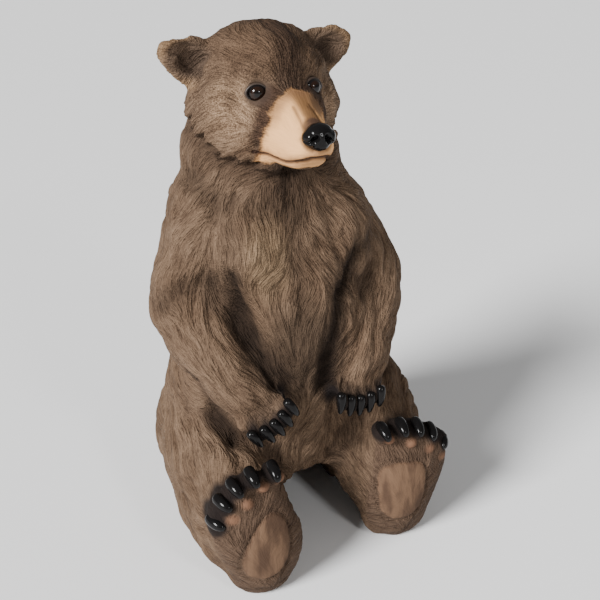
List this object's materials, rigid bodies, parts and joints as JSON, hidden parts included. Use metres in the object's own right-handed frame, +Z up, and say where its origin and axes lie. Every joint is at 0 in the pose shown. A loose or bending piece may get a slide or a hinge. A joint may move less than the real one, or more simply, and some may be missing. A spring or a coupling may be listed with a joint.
{
  "type": "bear figurine",
  "caption": "Seated brown bear cast in one piece, with carved fur, upright bare soles, raised dark claws, cupped ears and glossy inset eyes.",
  "frame": {"origin": "on the floor, under the middle of the figure's plan", "axes": "+Z up; the bear faces -Y; its left side is +X"},
  "size_m": [0.3312, 0.325, 0.5963],
  "materials": {
    "painted_resin": "hand-painted brown fur with pale dry-brushing",
    "eye_glass": "polished near-black"
  },
  "bodies": {
    "root": {"bear_figure": "painted_resin", "right_eye": "eye_glass", "left_eye": "eye_glass"}
  },
  "joints": []
}
